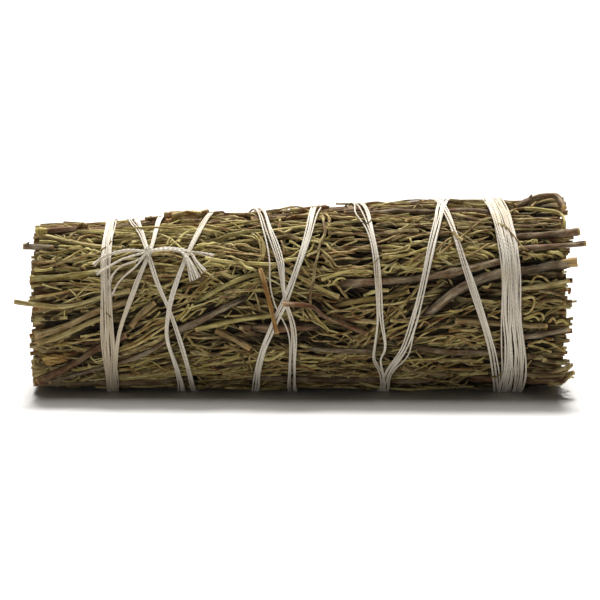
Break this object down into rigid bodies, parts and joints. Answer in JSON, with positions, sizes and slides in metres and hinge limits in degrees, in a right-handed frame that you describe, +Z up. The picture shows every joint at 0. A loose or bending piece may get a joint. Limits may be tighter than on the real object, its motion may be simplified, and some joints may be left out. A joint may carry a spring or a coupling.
{
  "type": "smudge stick",
  "caption": "Bundle of dried woody stems and leafy sprigs, cut square at both ends and bound with wound cotton thread; it lies on its side.",
  "frame": {"origin": "on the ground under the middle of the bundle", "axes": "+X along the bundle towards the thick cut ends, +Z up, -Y towards the front with the knot"},
  "size_m": [0.1153, 0.043, 0.0401],
  "materials": {
    "grey_brown_bark": "dry fissured bark, matt",
    "red_brown_bark": "dry peeling bark, matt",
    "tan_stem": "dry bare stem, matt",
    "pale_stem": "dry bare stem, matt",
    "yellow_green_stem": "dry green stem, matt",
    "olive_stem": "dry green stem, matt",
    "ochre_wood": "cut and split wood, matt",
    "grey_bark": "weathered bark, matt",
    "dried_sprigs": "dry needle leaves and fine stems, matt",
    "cotton_thread": "undyed spun cotton, soft matt"
  },
  "bodies": {
    "root": {"ochre_end_stem": "red_brown_bark", "pale_stem_upper_left": "pale_stem", "grey_stub": "grey_bark", "yellow_green_stem_left": "yellow_green_stem", "pale_stem_long_tip": "pale_stem", "grey_brown_stem_left": "grey_brown_bark", "tan_stem_left": "tan_stem", "pale_diagonal_stem_left": "pale_stem", "red_brown_stem_left": "red_brown_bark", "grey_stem_lower_left": "grey_bark", "thick_stem_lower_left": "grey_brown_bark", "tan_broken_stem": "tan_stem", "yellow_green_stem_upper": "yellow_green_stem", "yellow_green_stem_middle": "yellow_green_stem", "grey_diagonal_stem": "grey_bark", "green_jointed_stem": "yellow_green_stem", "broken_stick": "tan_stem", "brown_stem_middle": "red_brown_bark", "red_brown_stem_middle": "red_brown_bark", "brown_stem_bottom": "grey_brown_bark", "pale_stem_centre": "pale_stem", "pink_grey_stem": "grey_brown_bark", "thick_forked_stem": "grey_bark", "olive_stem": "olive_stem", "grey_stem_lower": "grey_bark", "bark_stem_lower_right": "grey_brown_bark", "tan_stem_lower_right": "tan_stem", "bent_top_stem": "grey_brown_bark", "brown_stem_upper_right": "grey_brown_bark", "thin_stem_long_tip": "grey_brown_bark", "pale_stem_right": "pale_stem", "tan_stub_right": "tan_stem", "grey_stem_right": "grey_bark", "curved_stem_lower_right": "tan_stem", "thick_stem_bottom_right": "red_brown_bark", "bark_stem_top_left": "red_brown_bark", "bark_stem_top_middle": "red_brown_bark", "bark_stem_top_right": "grey_brown_bark", "back_stem_1": "grey_brown_bark", "back_stem_2": "red_brown_bark", "back_stem_3": "grey_bark", "back_stem_4": "tan_stem", "back_stem_5": "grey_brown_bark", "back_stem_6": "yellow_green_stem", "back_stem_7": "red_brown_bark", "back_stem_8": "grey_brown_bark", "back_stem_9": "grey_bark", "back_stem_10": "tan_stem", "back_stem_11": "red_brown_bark", "orange_twig": "ochre_wood", "crossing_twig": "red_brown_bark", "ochre_chip": "ochre_wood", "packed_sprigs": "dried_sprigs", "tie_thread": "cotton_thread"}
  },
  "joints": []
}
